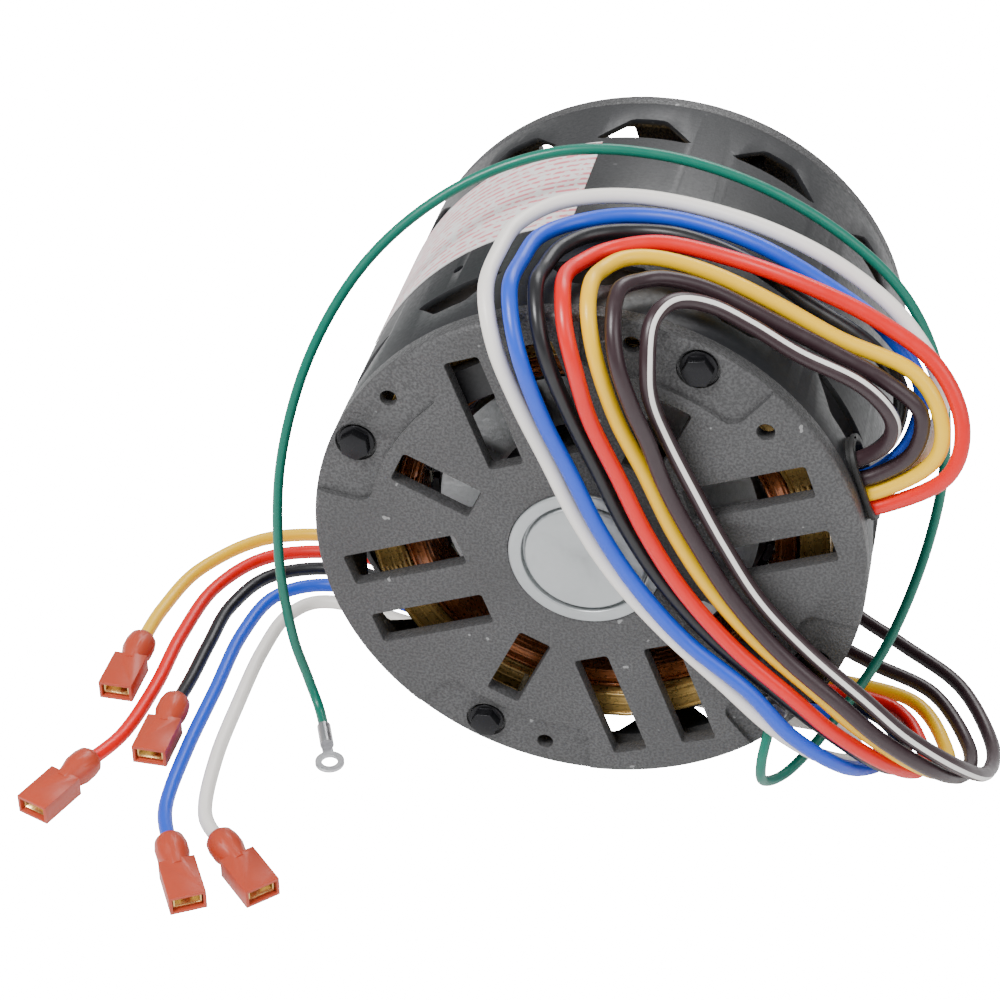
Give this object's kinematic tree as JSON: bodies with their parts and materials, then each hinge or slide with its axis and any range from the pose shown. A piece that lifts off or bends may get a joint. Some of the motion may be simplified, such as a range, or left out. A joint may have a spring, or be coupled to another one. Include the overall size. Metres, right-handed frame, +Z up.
{
  "type": "furnace blower motor",
  "caption": "Direct-drive blower motor with a vented round shell, slotted end shields, a flatted shaft and loose leads with push-on connectors.",
  "frame": {"origin": "on the shaft axis, midway along the shell", "axes": "+Y along the shaft towards its free end, +Z up"},
  "size_m": [0.2535, 0.293, 0.1599],
  "materials": {
    "shell_paint": "satin",
    "label_film": "satin",
    "cast_shield": "cast",
    "zinc_cover": "zinc plated",
    "bearing_bronze": "sintered",
    "oil_felt": "felt",
    "plain_steel": "satin",
    "core_steel": "laminated",
    "slot_film": "satin",
    "main_wire": "varnished",
    "start_wire": "varnished",
    "lacing_cord": "woven",
    "black_plastic": "matte",
    "black_steel": "black oxide",
    "bushing_rubber": "matte",
    "shaft_steel": "ground",
    "cast_rotor": "cast",
    "washer_plastic": "matte",
    "insulator": "satin",
    "terminal_brass": "plated",
    "terminal_tin": "tinned",
    "wire_black": "glossy",
    "wire_blue": "glossy",
    "wire_red": "glossy",
    "wire_yellow": "glossy",
    "wire_white": "glossy",
    "wire_brown": "glossy",
    "wire_brown_white": "glossy",
    "wire_green": "glossy"
  },
  "bodies": {
    "stator": {"shell": "shell_paint", "nameplate_label": "label_film", "front_end_shield": "cast_shield", "rear_end_shield": "cast_shield", "front_bearing_cover": "zinc_cover", "rear_bearing_cover": "zinc_cover", "front_bearing": "bearing_bronze", "rear_bearing": "bearing_bronze", "front_oil_felt": "oil_felt", "rear_oil_felt": "oil_felt", "front_felt_retainer": "plain_steel", "rear_felt_retainer": "plain_steel", "stator_core": "core_steel", "slot_liners": "slot_film", "main_winding": "main_wire", "start_winding": "start_wire", "winding_lacing": "lacing_cord", "thermal_protector": "black_plastic", "through_bolts": "black_steel", "through_bolt_nuts": "plain_steel", "ground_screw": "plain_steel", "lead_grommet": "bushing_rubber", "ring_terminal": "terminal_tin", "lead_green": "wire_green", "lead_black": "wire_black", "sleeve_black": "insulator", "receptacle_black": "terminal_brass", "lead_blue": "wire_blue", "sleeve_blue": "insulator", "receptacle_blue": "terminal_brass", "lead_red": "wire_red", "sleeve_red": "insulator", "receptacle_red": "terminal_brass", "lead_yellow": "wire_yellow", "sleeve_yellow": "insulator", "receptacle_yellow": "terminal_brass", "lead_white": "wire_white", "sleeve_white": "insulator", "receptacle_white": "terminal_brass", "lead_brown": "wire_brown", "sleeve_brown": "insulator", "receptacle_brown": "terminal_brass", "lead_brown_white": "wire_brown_white", "sleeve_brown_white": "insulator", "receptacle_brown_white": "terminal_brass"},
    "rotor": {"shaft": "shaft_steel", "rotor_core": "core_steel", "rotor_cage": "cast_rotor", "thrust_washers": "washer_plastic", "oil_slinger": "black_plastic"}
  },
  "joints": [
    {"name": "rotor_spin", "type": "hinge", "parent": "stator", "child": "rotor", "pos_m": [0, 0, 0], "axis": [0, 1, 0], "continuous": true}
  ]
}
